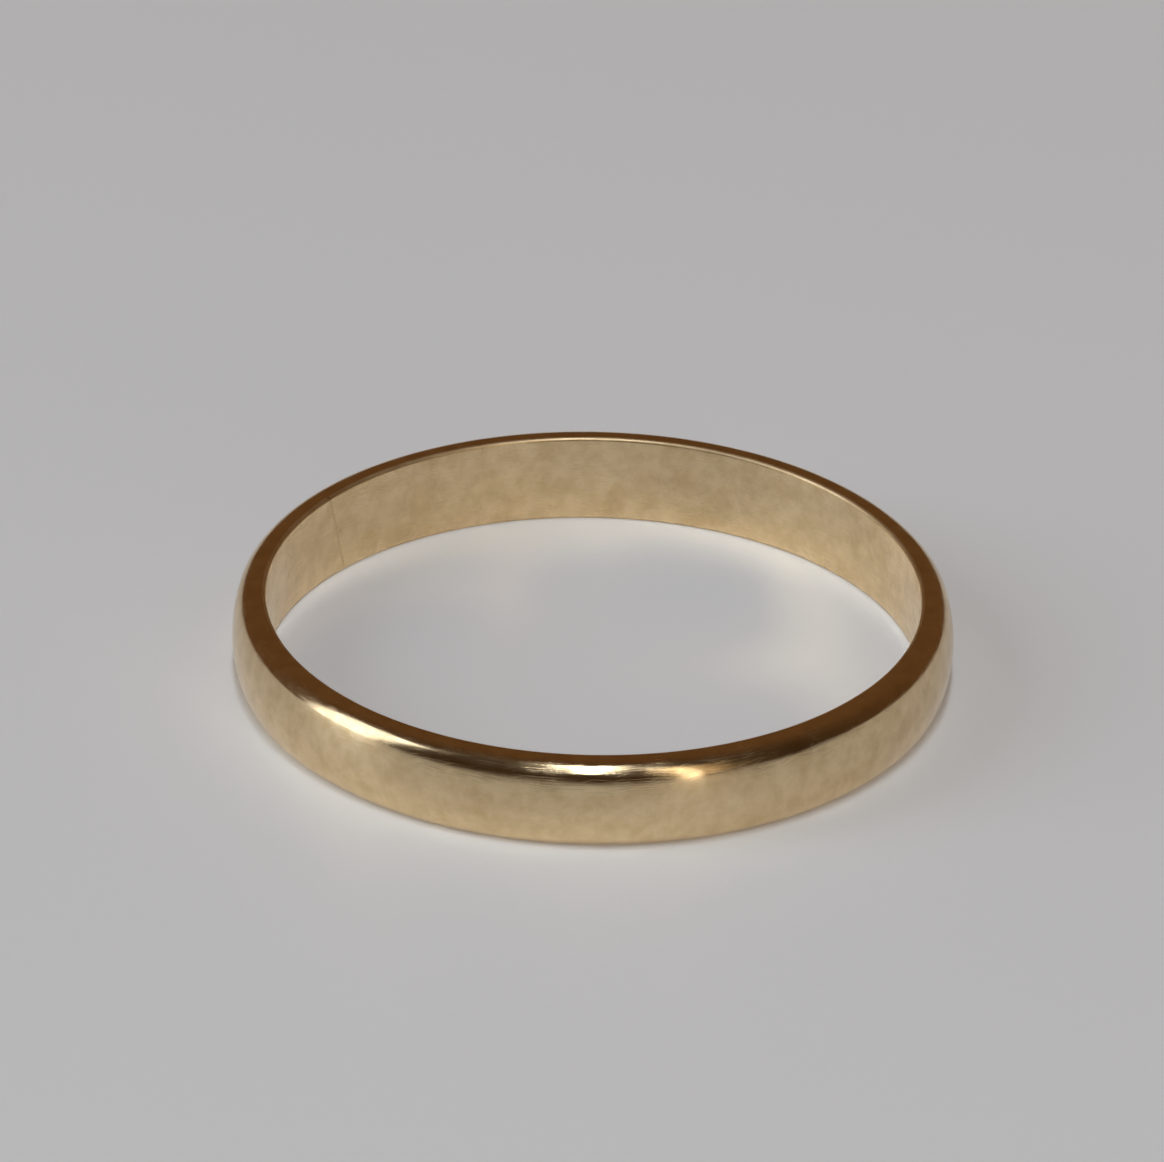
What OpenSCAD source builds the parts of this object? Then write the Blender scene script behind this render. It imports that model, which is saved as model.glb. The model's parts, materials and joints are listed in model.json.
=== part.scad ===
// Plain D-section wedding band: one strip of gold bent round and closed by a soldered joint.
// The ring stands on its lower edge at z = 0, with the finger's axis along +Z through the origin.

/* [Finger] */
// Inside circumference of the ring, which is its size number
ring_size = 55; // [41:0.5:76]

/* [Band] */
// Width of the band along the finger
band_w = 2.5; // [1.6:0.1:6]
// Thickness of the band at the top of its crown
band_t = 0.9; // [0.85:0.01:2]
// How much thinner the band would be at its two edges than at its crown, were they left sharp
crown_drop = 0.27; // [0.04:0.01:0.3]
// Radius where the crown rolls over onto each flat edge
shoulder_r = 0.5; // [0.1:0.01:0.5]
// Radius where each flat edge turns down into the finger hole
inner_edge_r = 0.1; // [0.05:0.01:0.1]

/* [Soldered joint] */
// Thickness of the solder between the strip's two ends
seam_t = 0.08; // [0.04:0.01:0.15]
// Place of the joint round the ring, anticlockwise from +X
seam_angle = 143; // [0:1:359]
// How far the saw cut leans from square to the edges
seam_lean = 15; // [0:1:25]

/* [Hidden] */

// Facets of a full circle in the preview mesh, for the ring and for its section
ring_facets = 360;
section_facets = 720;

inner_r = ring_size / (2 * PI);
outer_r = inner_r + band_t;
half_w = band_w / 2;

// The crown is one arc through the peak and through both corners of the section
crown_r = (half_w * half_w + crown_drop * crown_drop) / (2 * crown_drop);
crown_x = outer_r - crown_r;

// Each shoulder is an arc between the crown and the flat edge. It stands a hair proud of a true
// tangent to the crown, so that the two arcs cross at one clean point
hair = 0.0005;
shoulder_y = half_w - shoulder_r;
shoulder_x = crown_x + sqrt(pow(crown_r - shoulder_r + hair, 2) - shoulder_y * shoulder_y);
shoulder_a = atan2(shoulder_y, shoulder_x - crown_x);

// The section's inner and outer sides each reach this far in, so they lap over each other
core_w = 0.75 * (shoulder_x - inner_r - inner_edge_r);

// The saw cut reaches past the section by this much on every side
cut_margin = 0.5;
cut_len = (band_w + 2 * cut_margin) / cos(seam_lean);

gold = [0.83, 0.68, 0.42];
solder = [0.72, 0.62, 0.40];

// Point on an arc's circle
function on_arc(centre, r, a) = centre + r * [cos(a), sin(a)];

// A quarter of a disc in its first quadrant, which rounds a corner of the section
module quarter_disc(r) {
    intersection() {
        circle(r = r, $fn = section_facets);
        square(2 * r);
    }
}

// The inner side of the section: the finger hole's wall between its two small round edges
module section_inside() {
    translate([inner_r + inner_edge_r, 0]) {
        translate([-inner_edge_r, inner_edge_r])
            square([inner_edge_r, band_w - 2 * inner_edge_r]);
        square([core_w, band_w]);
        translate([0, inner_edge_r])
            rotate(180) quarter_disc(inner_edge_r);
        translate([0, band_w - inner_edge_r])
            rotate(90) quarter_disc(inner_edge_r);
    }
}

// The outer side of the section: the crown's arc between its two shoulders
module section_outside() {
    low = [0, shoulder_r];
    high = [0, band_w - shoulder_r];
    translate([shoulder_x, 0]) {
        translate([-core_w, 0])
            square([core_w, band_w]);
        translate(low)
            rotate(-90) quarter_disc(shoulder_r);
        translate(high)
            quarter_disc(shoulder_r);
        intersection() {
            translate([crown_x - shoulder_x, half_w])
                circle(r = crown_r, $fn = section_facets);
            polygon([low, on_arc(low, band_t, -shoulder_a), on_arc(high, band_t, shoulder_a), high]);
        }
    }
}

// The whole ring before it is parted into strip and solder
module ring() {
    rotate_extrude($fn = ring_facets)
        union() {
            section_inside();
            section_outside();
        }
}

// The slot between the strip's ends: a thin leaning slab through one side of the ring
module saw_cut() {
    rotate([0, 0, seam_angle])
        translate([(inner_r + outer_r) / 2, 0, half_w])
            rotate([-seam_lean, 0, 0])
                cube([band_t + 2 * cut_margin, seam_t, cut_len], center = true);
}

module band() {
    color(gold)
        difference() {
            ring();
            saw_cut();
        }
}

module solder_seam() {
    color(solder)
        intersection() {
            ring();
            saw_cut();
        }
}

band();
solder_seam();
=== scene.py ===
"""The looks of a plain, well-worn gold wedding band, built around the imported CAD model."""

import json
import math
import random

import bmesh
import bpy
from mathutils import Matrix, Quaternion, Vector, noise


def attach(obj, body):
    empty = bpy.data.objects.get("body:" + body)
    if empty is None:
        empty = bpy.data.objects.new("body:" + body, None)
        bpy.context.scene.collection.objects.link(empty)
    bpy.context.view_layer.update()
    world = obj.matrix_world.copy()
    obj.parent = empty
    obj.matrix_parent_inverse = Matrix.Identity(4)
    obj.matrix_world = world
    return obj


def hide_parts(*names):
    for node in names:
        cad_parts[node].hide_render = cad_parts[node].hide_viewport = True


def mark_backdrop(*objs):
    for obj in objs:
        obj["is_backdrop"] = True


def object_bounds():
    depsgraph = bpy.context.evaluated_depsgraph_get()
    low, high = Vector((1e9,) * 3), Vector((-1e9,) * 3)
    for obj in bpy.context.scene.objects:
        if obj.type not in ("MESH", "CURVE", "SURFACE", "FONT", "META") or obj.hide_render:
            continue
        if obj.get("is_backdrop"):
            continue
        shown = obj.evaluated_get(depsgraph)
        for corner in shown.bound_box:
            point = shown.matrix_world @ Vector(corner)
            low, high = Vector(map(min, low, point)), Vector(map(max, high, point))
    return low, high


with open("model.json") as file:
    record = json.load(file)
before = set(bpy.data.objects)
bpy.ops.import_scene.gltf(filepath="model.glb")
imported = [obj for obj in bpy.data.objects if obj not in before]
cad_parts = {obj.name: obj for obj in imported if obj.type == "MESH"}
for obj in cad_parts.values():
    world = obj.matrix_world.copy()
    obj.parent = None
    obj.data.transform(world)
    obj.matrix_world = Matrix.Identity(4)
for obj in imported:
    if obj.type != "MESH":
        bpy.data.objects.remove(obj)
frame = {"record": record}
cad_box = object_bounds()

MM = 0.001  # one millimetre in metres, Blender's unit here
random.seed(56)

# ---------------------------------------------------------------- sizes, in millimetres

CAD_LOW, CAD_HIGH = cad_box
OUTER_R = (CAD_HIGH.x - CAD_LOW.x) / 2 / MM
BAND_W = (CAD_HIGH.z - CAD_LOW.z) / MM
FINGER_HOLE = next(m for m in frame["record"]["mounts"] if m["name"] == "finger_hole")
INNER_R = FINGER_HOLE["dims"]["r_mm"]

CROWN_DROP = 0.27  # how much thinner the band would be at its edges, were they left sharp
SHOULDER_R = 0.5  # corner between crown and flat edge
INNER_EDGE_R = 0.1  # corner between flat edge and finger hole

SEAM_ANGLE = math.radians(143)  # the soldered joint's place, anticlockwise from +X
SEAM_LEAN = math.radians(15)
SEAM_T = 0.08
SEAM_SINK = 0.003  # how far the solder sinks below the gold in the finger hole

# ---------------------------------------------------------------- section of the band

FLAT_STEPS = 3
LOWER_SHOULDER_STEPS = 14
CROWN_STEPS = 22
UPPER_SHOULDER_STEPS = 18
UPPER_INNER_EDGE_STEPS = 6
WALL_STEPS = 24
LOWER_INNER_EDGE_STEPS = 5

HALF_W = BAND_W / 2
CROWN_R = (HALF_W**2 + CROWN_DROP**2) / (2 * CROWN_DROP)
CROWN_X = OUTER_R - CROWN_R
SHOULDER_Y = HALF_W - SHOULDER_R
SHOULDER_X = CROWN_X + math.sqrt((CROWN_R - SHOULDER_R) ** 2 - SHOULDER_Y**2)
SHOULDER_A = math.atan2(SHOULDER_Y, SHOULDER_X - CROWN_X)
QUARTER = math.pi / 2


def arc(r, z, radius, start, end, steps):
    """Points (r, z, angle of the outward normal) along an arc, without its last one."""
    for i in range(steps):
        a = start + (end - start) * i / steps
        yield r + radius * math.cos(a), z + radius * math.sin(a), a


def line(r0, z0, r1, z1, normal, steps):
    """Points along a straight stretch, without its last one."""
    for i in range(steps):
        t = i / steps
        yield r0 + (r1 - r0) * t, z0 + (z1 - z0) * t, normal


def section():
    """The band's outline as (r, z, normal angle), once round, starting on the lower flat edge."""
    edge_r = INNER_R + INNER_EDGE_R
    top = BAND_W
    wall_low, wall_high = INNER_EDGE_R, top - INNER_EDGE_R
    return [
        *line(edge_r, 0, SHOULDER_X, 0, -QUARTER, FLAT_STEPS),
        *arc(SHOULDER_X, SHOULDER_R, SHOULDER_R, -QUARTER, -SHOULDER_A, LOWER_SHOULDER_STEPS),
        *arc(CROWN_X, HALF_W, CROWN_R, -SHOULDER_A, SHOULDER_A, CROWN_STEPS),
        *arc(SHOULDER_X, top - SHOULDER_R, SHOULDER_R, SHOULDER_A, QUARTER, UPPER_SHOULDER_STEPS),
        *line(SHOULDER_X, top, edge_r, top, QUARTER, FLAT_STEPS),
        *arc(edge_r, wall_high, INNER_EDGE_R, QUARTER, 2 * QUARTER, UPPER_INNER_EDGE_STEPS),
        *line(INNER_R, wall_high, INNER_R, wall_low, 2 * QUARTER, WALL_STEPS),
        *arc(edge_r, wall_low, INNER_EDGE_R, 2 * QUARTER, 3 * QUARTER, LOWER_INNER_EDGE_STEPS),
    ]


# ---------------------------------------------------------------- wear, in millimetres of depth

# The most that wear takes away, and how wide its bumps are
SHOULDER_WEAR, SHOULDER_BUMP = 0.010, 3.2
OUTSIDE_WEAR, OUTSIDE_BUMP = 0.006, 3.0
INSIDE_WEAR, INSIDE_BUMP = 0.003, 1.8
FLAT_WEAR, FLAT_BUMP = 0.0025, 1.4

# Shoulder wear is deepest where the normal's upward share is the first value, and gone this far from it
SHOULDER_TILT, SHOULDER_REACH = 0.62, 0.42

KNOCK_COUNT = 60
KNOCK_FALLOFF = 1.6
DENT_REACH = 1.6


def bump_noise(p, size):
    """Noise from 0 to 1 at point p, with features about this many millimetres across."""
    coarse = noise.noise(p * (1 / size))
    fine = noise.noise(p * (2 / size))
    value = (coarse + 0.5 * fine) / 1.5
    return min(max(0.5 + 0.7 * value, 0.0), 1.0)


def smooth(x):
    x = min(max(x, 0.0), 1.0)
    return x * x * (3 - 2 * x)


# Knocks on the outside: degrees round the ring, height share, radius, depth, stretch along the ring
KNOCKS = [
    (
        random.uniform(-55, 215),
        random.uniform(0.08, 0.92),
        random.uniform(0.14, 0.32),
        random.uniform(0.0004, 0.0013),
        random.uniform(1.0, 2.6),
    )
    for _ in range(KNOCK_COUNT)
]

# Blank, worn-down dents inside the band: degrees round, height share, half length, half height, depth
DENTS = [
    (123, 0.45, 0.40, 0.50, 0.010),
    (109, 0.50, 0.36, 0.46, 0.009),
    (86, 0.30, 0.30, 0.36, 0.010),
    (81, 0.51, 0.26, 0.40, 0.009),
    (73, 0.54, 0.34, 0.32, 0.009),
    (66, 0.42, 0.28, 0.46, 0.009),
    (35, 0.55, 0.26, 0.40, 0.008),
]


def turn_between(a, b):
    """Smallest signed turn from angle b to angle a, in radians."""
    return (a - b + math.pi) % (2 * math.pi) - math.pi


def knock_depth(phi, z, r):
    """Depth of the small knocks at a point of the outside."""
    depth = 0.0
    for degrees, share, radius, deep, stretch in KNOCKS:
        along = turn_between(phi, math.radians(degrees)) * r / stretch
        if abs(along) < 2.5 * radius:
            gap = (along**2 + (z - share * BAND_W) ** 2) / radius**2
            depth += deep * math.exp(-gap * KNOCK_FALLOFF)
    return depth


def dent_depth(phi, z, p):
    """Depth of the blank worn dents at a point of the inside."""
    depth = 0.0
    for degrees, share, half_l, half_h, deep in DENTS:
        along = turn_between(phi, math.radians(degrees)) * INNER_R / half_l
        up = (z - share * BAND_W) / half_h
        if abs(along) < 2 and abs(up) < 2:
            gap = math.hypot(along, up) * (0.8 + 0.5 * bump_noise(p, 0.5))
            depth += deep * smooth(DENT_REACH - gap) * (0.35 + 0.65 * bump_noise(p, 0.3))
    return depth


def wear_depth(phi, r, z, normal):
    """How far wear has taken the surface back from the CAD section at a point."""
    p = Vector((r * math.cos(phi), r * math.sin(phi), z))
    outside = max(math.cos(normal), 0.0)
    inside = max(-math.cos(normal), 0.0)
    tilt = abs(math.sin(normal))
    shoulder = smooth(1 - abs(tilt - SHOULDER_TILT) / SHOULDER_REACH) * smooth(outside * 4)
    depth = SHOULDER_WEAR * shoulder * bump_noise(p, SHOULDER_BUMP)
    depth += OUTSIDE_WEAR * outside * bump_noise(p, OUTSIDE_BUMP)
    depth += INSIDE_WEAR * inside * bump_noise(p, INSIDE_BUMP)
    depth += FLAT_WEAR * tilt * bump_noise(p, FLAT_BUMP)
    if outside > 0.05:
        depth += knock_depth(phi, z, r) * smooth(outside * 3)
    if inside > 0.5:
        depth += dent_depth(phi, z, p)
    return depth


# ---------------------------------------------------------------- meshes

BAND_COLUMNS = 1020
SOLDER_COLUMNS = 6


def cut_angle(z, r, side):
    """Where the saw cut's face lies at height z: side is -1 for its first face, +1 for its second."""
    across = (z - HALF_W) * math.tan(SEAM_LEAN) + side * SEAM_T / 2 / math.cos(SEAM_LEAN)
    return SEAM_ANGLE + math.asin(across / r)


def swept_piece(name, first_angle, last_angle, columns, sink):
    """A closed solid swept round the finger's axis between two angle functions of (z, r).

    sink is how far its inner wall lies below the section, in millimetres.
    """
    outline = section()
    rows = len(outline)
    bm = bmesh.new()
    rings = []
    for i in range(columns + 1):
        t = i / columns
        ring = []
        for r, z, normal in outline:
            start = first_angle(z, r)
            phi = start + (last_angle(z, r) - start) * t
            depth = wear_depth(phi, r, z, normal) + sink * max(-math.cos(normal), 0.0)
            rr = r - depth * math.cos(normal)
            zz = z - depth * math.sin(normal)
            ring.append(bm.verts.new((rr * math.cos(phi) * MM, rr * math.sin(phi) * MM, zz * MM)))
        rings.append(ring)
    for low, high in zip(rings, rings[1:]):
        for j in range(rows):
            k = (j + 1) % rows
            bm.faces.new((low[j], high[j], high[k], low[k]))
    ends = bm.faces.new(rings[0]), bm.faces.new(list(reversed(rings[-1])))
    for end in ends:
        for edge in end.edges:
            edge.smooth = False  # keeps the flat ends out of the sides' smooth shading
    bmesh.ops.recalc_face_normals(bm, faces=bm.faces)
    mesh = bpy.data.meshes.new(name)
    bm.to_mesh(mesh)
    bm.free()
    piece = bpy.data.objects.new(name, mesh)
    bpy.context.scene.collection.objects.link(piece)
    for polygon in mesh.polygons:
        polygon.use_smooth = len(polygon.vertices) == 4
    return piece


def make_band():
    return swept_piece(
        "gold_strip",
        lambda z, r: cut_angle(z, r, 1),
        lambda z, r: cut_angle(z, r, -1) + 2 * math.pi,
        BAND_COLUMNS,
        0.0,
    )


def make_solder():
    return swept_piece(
        "solder_line",
        lambda z, r: cut_angle(z, r, -1),
        lambda z, r: cut_angle(z, r, 1),
        SOLDER_COLUMNS,
        SEAM_SINK,
    )


# ---------------------------------------------------------------- materials

PALE_GOLD = (0.80, 0.62, 0.375, 1)
DULL_GOLD = (0.67, 0.495, 0.275, 1)
CLEAN_SOLDER = (0.755, 0.58, 0.345, 1)
DIRTY_SOLDER = (0.62, 0.455, 0.25, 1)
FLOOR_TINTS = (0.77, 0.785, 0.79, 1), (0.78, 0.795, 0.80, 1)
FLOOR_GLOW = 0.10  # stands for the light that a slightly translucent floor spreads under the ring

# Hairline scratches: slant in radians, length and width in millimetres, share of places that have one
SCRATCHES = [
    (0.10, 1.5, 0.030, 0.30),
    (-0.30, 0.9, 0.028, 0.22),
    (-0.03, 2.6, 0.028, 0.35),
]


class Nodes:
    """A short way to write a material's node tree."""

    def __init__(self, name):
        self.material = bpy.data.materials.new(name)
        self.material.use_nodes = True
        self.tree = self.material.node_tree
        self.tree.nodes.clear()

    def add(self, kind, inputs=None, **settings):
        node = self.tree.nodes.new(kind)
        for key, value in settings.items():
            setattr(node, key, value)
        for key, value in (inputs or {}).items():
            if isinstance(value, bpy.types.NodeSocket):
                self.tree.links.new(value, node.inputs[key])
            else:
                node.inputs[key].default_value = value
        return node

    def math(self, operation, a, b=0.0):
        return self.add("ShaderNodeMath", {0: a, 1: b}, operation=operation).outputs[0]

    def remap(self, value, low, high, to_low, to_high):
        inputs = {0: value, 1: low, 2: high, 3: to_low, 4: to_high}
        return self.add("ShaderNodeMapRange", inputs, clamp=True).outputs[0]

    def noise(self, vector, scale, detail, roughness):
        inputs = {"Vector": vector, "Scale": scale, "Detail": detail, "Roughness": roughness}
        return self.add("ShaderNodeTexNoise", inputs).outputs[0]

    def mix_colour(self, factor, a, b):
        node = self.add("ShaderNodeMix", data_type="RGBA")
        for socket, value in ((node.inputs[0], factor), (node.inputs[6], a), (node.inputs[7], b)):
            if isinstance(value, bpy.types.NodeSocket):
                self.tree.links.new(value, socket)
            else:
                socket.default_value = value
        return node.outputs[2]


def place_coordinates(n):
    """The point in millimetres, its radius from the finger's axis, its length round the ring, and z."""
    source = n.add("ShaderNodeTexCoord").outputs["Object"]
    point = n.add("ShaderNodeVectorMath", {0: source, "Scale": 1 / MM}, operation="SCALE").outputs[0]
    x, y, z = n.add("ShaderNodeSeparateXYZ", {0: point}).outputs
    radius = n.math("SQRT", n.math("ADD", n.math("MULTIPLY", x, x), n.math("MULTIPLY", y, y)))
    turned = n.add(
        "ShaderNodeVectorRotate",
        {"Vector": point, "Angle": math.pi - SEAM_ANGLE},
        rotation_type="Z_AXIS",
    ).outputs[0]
    tx, ty, _ = n.add("ShaderNodeSeparateXYZ", {0: turned}).outputs
    along = n.math("MULTIPLY", n.math("ARCTAN2", ty, tx), OUTER_R)
    return point, radius, along, z


def across_band(n, radius, z):
    """Length in millimetres across the band, which grows from one shoulder over the crown to the other."""
    side = n.remap(z, 0.0, BAND_W, -1.0, 1.0)
    below_crown = n.math("SUBTRACT", OUTER_R, radius)
    return n.math("ADD", z, n.math("MULTIPLY", below_crown, side))


def scratches(n, along, across, slant, length, width, share):
    """Thin straight scratches: 1 in a scratch and 0 outside."""
    flat = n.add("ShaderNodeCombineXYZ", {0: along, 1: across}).outputs[0]
    turned = n.add(
        "ShaderNodeVectorRotate", {"Vector": flat, "Angle": slant}, rotation_type="Z_AXIS"
    ).outputs[0]
    stretched = n.add(
        "ShaderNodeVectorMath", {0: turned, 1: (1 / length, 1 / width, 1.0)}, operation="MULTIPLY"
    ).outputs[0]
    cells = n.add("ShaderNodeTexVoronoi", {"Vector": stretched, "Scale": 1.0}, voronoi_dimensions="2D")
    cell_number = n.add("ShaderNodeSeparateColor", {0: cells.outputs["Color"]}).outputs[0]
    chosen = n.math("LESS_THAN", cell_number, share)
    core = n.remap(cells.outputs["Distance"], 0.08, 0.34, 1.0, 0.0)
    return n.math("MULTIPLY", core, chosen)


def gold_material():
    """Polished 9 carat gold after years of wear: hairlines, fine scratches, smudges and dull patches."""
    n = Nodes("worn_gold")
    point, radius, along, z = place_coordinates(n)
    across = across_band(n, radius, z)

    long_way = n.math("MULTIPLY", along, 0.5)
    short_way = n.math("MULTIPLY", across, 16)
    streak_point = n.add("ShaderNodeCombineXYZ", {0: long_way, 1: short_way}).outputs[0]
    streaks = n.noise(streak_point, 1.0, 3.0, 0.6)
    grain = n.noise(point, 11.0, 3.0, 0.6)
    patches = n.noise(point, 0.9, 3.0, 0.55)
    mottle = n.noise(point, 1.9, 4.0, 0.6)

    marks = None
    for slant, length, width, share in SCRATCHES:
        found = scratches(n, along, across, slant, length, width, share)
        marks = found if marks is None else n.math("MAXIMUM", marks, found)

    height = n.math("MULTIPLY", streaks, 0.55)
    height = n.math("ADD", height, n.math("MULTIPLY", grain, 0.35))
    height = n.math("SUBTRACT", height, n.math("MULTIPLY", marks, 0.8))
    bump = n.add("ShaderNodeBump", {"Strength": 1.0, "Distance": 0.0007 * MM, "Height": height})

    roughness = n.remap(patches, 0.3, 0.7, 0.12, 0.20)
    roughness = n.math("ADD", roughness, n.math("MULTIPLY", marks, 0.10))
    past_wall = n.remap(radius, INNER_R - 0.002, INNER_R + 0.01, 0.0, 1.0)
    before_flat = n.remap(radius, INNER_R + 0.08, INNER_R + 0.12, 1.0, 0.0)
    scuffed_edge = n.math("MULTIPLY", past_wall, before_flat)
    roughness = n.math("ADD", roughness, n.math("MULTIPLY", scuffed_edge, 0.28))

    colour = n.mix_colour(n.remap(mottle, 0.36, 0.68, 0.0, 1.0), PALE_GOLD, DULL_GOLD)

    shader = n.add(
        "ShaderNodeBsdfPrincipled",
        {"Base Color": colour, "Metallic": 1.0, "Roughness": roughness, "Normal": bump.outputs[0]},
    )
    n.add("ShaderNodeOutputMaterial", {"Surface": shader.outputs[0]})
    return n.material


def solder_material():
    """Hard solder: flush and bright outside, but sunk, pitted and darker in the finger hole."""
    n = Nodes("gold_solder")
    point, radius, _, _ = place_coordinates(n)
    pits = n.noise(point, 14.0, 4.0, 0.65)
    hidden = n.remap(radius, INNER_R + 0.03, INNER_R + 0.12, 1.0, 0.0)
    dirt = n.math("MULTIPLY", hidden, n.remap(pits, 0.3, 0.6, 1.0, 0.55))
    colour = n.mix_colour(dirt, CLEAN_SOLDER, DIRTY_SOLDER)
    bump = n.add("ShaderNodeBump", {"Strength": 1.0, "Distance": 0.0008 * MM, "Height": pits})
    shader = n.add(
        "ShaderNodeBsdfPrincipled",
        {
            "Base Color": colour,
            "Metallic": 1.0,
            "Roughness": n.remap(dirt, 0.0, 1.0, 0.16, 0.38),
            "Normal": bump.outputs[0],
        },
    )
    n.add("ShaderNodeOutputMaterial", {"Surface": shader.outputs[0]})
    return n.material


def floor_material():
    """A smooth pale surface with a hardly visible tint."""
    n = Nodes("pale_floor")
    point = n.add("ShaderNodeTexCoord").outputs["Object"]
    tint = n.noise(point, 30.0, 2.0, 0.5)
    colour = n.mix_colour(tint, *FLOOR_TINTS)
    shader = n.add(
        "ShaderNodeBsdfPrincipled",
        {
            "Base Color": colour,
            "Roughness": 0.45,
            "IOR": 1.4,
            "Emission Color": (1.0, 1.0, 1.0, 1.0),
            "Emission Strength": FLOOR_GLOW,
        },
    )
    n.add("ShaderNodeOutputMaterial", {"Surface": shader.outputs[0]})
    return n.material


# ---------------------------------------------------------------- floor, lights and camera

FLOOR_HALF = 1.5  # metres
FLOOR_GAP = 0.002  # millimetres between floor and ring, so that their faces never coincide

DAYLIGHT = (0.90, 0.96, 1.04)
LAMP_WHITE = (1.0, 0.90, 0.76)
SHADE_AMBER = (1.0, 0.76, 0.46)
ROOM_IN_FRONT = (0.045, 0.026, 0.013, 1)
ROOM_BEHIND = (0.12, 0.062, 0.026, 1)
BACKDROP = (0.45, 0.45, 0.46, 1)

CAMERA_ELEVATION = math.radians(29.10)
CAMERA_DISTANCE = 0.3217  # metres from the ring's middle on the floor
CAMERA_AIM = Vector((-0.322, 2.893, 1.25)) * MM
CAMERA_TILT = Quaternion((0, 0, 1), math.radians(1.133))


def make_floor():
    bm = bmesh.new()
    bmesh.ops.create_grid(bm, x_segments=2, y_segments=2, size=FLOOR_HALF)
    mesh = bpy.data.meshes.new("floor")
    bm.to_mesh(mesh)
    bm.free()
    floor = bpy.data.objects.new("floor", mesh)
    floor.location.z = -FLOOR_GAP * MM
    bpy.context.scene.collection.objects.link(floor)
    mesh.materials.append(floor_material())
    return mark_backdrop(floor)


def from_ring(azimuth, elevation, distance):
    """A point in metres, at a direction in degrees from the middle of the ring."""
    a, e = math.radians(azimuth), math.radians(elevation)
    return Vector((math.cos(a) * math.cos(e), math.sin(a) * math.cos(e), math.sin(e))) * distance


def soft_light(name, low, high, distance, radiance, colour):
    """A flat light that faces the ring and fills a patch of its surroundings.

    low and high are (azimuth, elevation) in degrees of the patch's two opposite corners, as the ring
    sees them. The light's power follows from the radiance that it shows.
    """
    azimuth, elevation = (low[0] + high[0]) / 2, (low[1] + high[1]) / 2
    half_turn = math.radians(high[0] - low[0]) / 2 * math.cos(math.radians(elevation))
    half_rise = math.radians(high[1] - low[1]) / 2
    lamp = bpy.data.lights.new(name, "AREA")
    lamp.shape = "RECTANGLE"
    lamp.size = 2 * distance * math.tan(half_turn)
    lamp.size_y = 2 * distance * math.tan(half_rise)
    lamp.energy = radiance * math.pi * lamp.size * lamp.size_y
    lamp.color = colour
    piece = bpy.data.objects.new(name, lamp)
    piece.location = from_ring(azimuth, elevation, distance)
    piece.rotation_mode = "QUATERNION"
    piece.rotation_quaternion = (-piece.location).to_track_quat("-Z", "Y")
    piece.visible_camera = False
    bpy.context.scene.collection.objects.link(piece)
    return piece


def overhead_strip(name, centre, size, radiance, colour):
    """A flat light that hangs level above the ring, placed and sized in metres."""
    lamp = bpy.data.lights.new(name, "AREA")
    lamp.shape = "RECTANGLE"
    lamp.size, lamp.size_y = size
    lamp.energy = radiance * math.pi * lamp.size * lamp.size_y
    lamp.color = colour
    piece = bpy.data.objects.new(name, lamp)
    piece.location = centre
    piece.visible_camera = False
    bpy.context.scene.collection.objects.link(piece)
    return piece


def make_lights():
    """A window at the left, a warm lamp at the right front, and a long tube overhead."""
    soft_light("window", (174, 0), (204, 50), 0.6, 2.35, DAYLIGHT)
    soft_light("lamp", (297, 0), (304, 58), 0.6, 2.6, LAMP_WHITE)
    soft_light("lamp_shade", (303, 4), (313, 50), 0.61, 0.36, SHADE_AMBER)
    overhead_strip("tube_above", (0.0, -0.42, 0.6), (0.046, 0.66), 18.6, DAYLIGHT)
    overhead_strip("tube_housing", (0.012, -0.40, 0.62), (0.12, 0.62), 1.2, DAYLIGHT)


def make_world():
    """A dim brown room that is darkest in front of the ring. The camera itself sees a pale backdrop."""
    world = bpy.data.worlds.new("room")
    bpy.context.scene.world = world
    world.use_nodes = True
    tree = world.node_tree
    new = tree.nodes.new
    direction = new("ShaderNodeTexCoord").outputs["Generated"]
    parts = new("ShaderNodeSeparateXYZ")
    tree.links.new(direction, parts.inputs[0])
    depth = new("ShaderNodeMapRange")
    depth.inputs[1].default_value, depth.inputs[2].default_value = -0.3, 0.6
    tree.links.new(parts.outputs["Y"], depth.inputs[0])
    room = new("ShaderNodeMix")
    room.data_type = "RGBA"
    room.inputs[6].default_value = ROOM_IN_FRONT
    room.inputs[7].default_value = ROOM_BEHIND
    tree.links.new(depth.outputs[0], room.inputs[0])
    seen = new("ShaderNodeMix")
    seen.data_type = "RGBA"
    seen.inputs[7].default_value = BACKDROP
    tree.links.new(new("ShaderNodeLightPath").outputs["Is Camera Ray"], seen.inputs[0])
    tree.links.new(room.outputs[2], seen.inputs[6])
    tree.links.new(seen.outputs[2], tree.nodes["Background"].inputs["Color"])


def make_camera():
    """A long lens, 29 degrees above the floor, aimed a little behind the middle of the ring."""
    camera = bpy.data.objects.new("camera", bpy.data.cameras.new("camera"))
    camera.data.sensor_width = 36.0
    camera.data.lens = 371.1
    camera.location.y = -CAMERA_DISTANCE * math.cos(CAMERA_ELEVATION)
    camera.location.z = CAMERA_DISTANCE * math.sin(CAMERA_ELEVATION)
    camera.rotation_mode = "QUATERNION"
    camera.rotation_quaternion = (CAMERA_AIM - camera.location).to_track_quat("-Z", "Y") @ CAMERA_TILT
    camera.data.clip_start, camera.data.clip_end = 0.01, 10.0
    bpy.context.scene.collection.objects.link(camera)
    bpy.context.scene.camera = camera


# ---------------------------------------------------------------- the scene

band = make_band()
band.data.materials.append(gold_material())
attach(band, "root")
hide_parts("band")

solder = make_solder()
solder.data.materials.append(solder_material())
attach(solder, "root")
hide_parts("solder_seam")

make_floor()
make_lights()
make_world()
make_camera()
bpy.context.scene.view_settings.view_transform = "Standard"
bpy.context.scene.cycles.blur_glossy = 0.0  # keeps the bright crescents that the ring throws on the floor
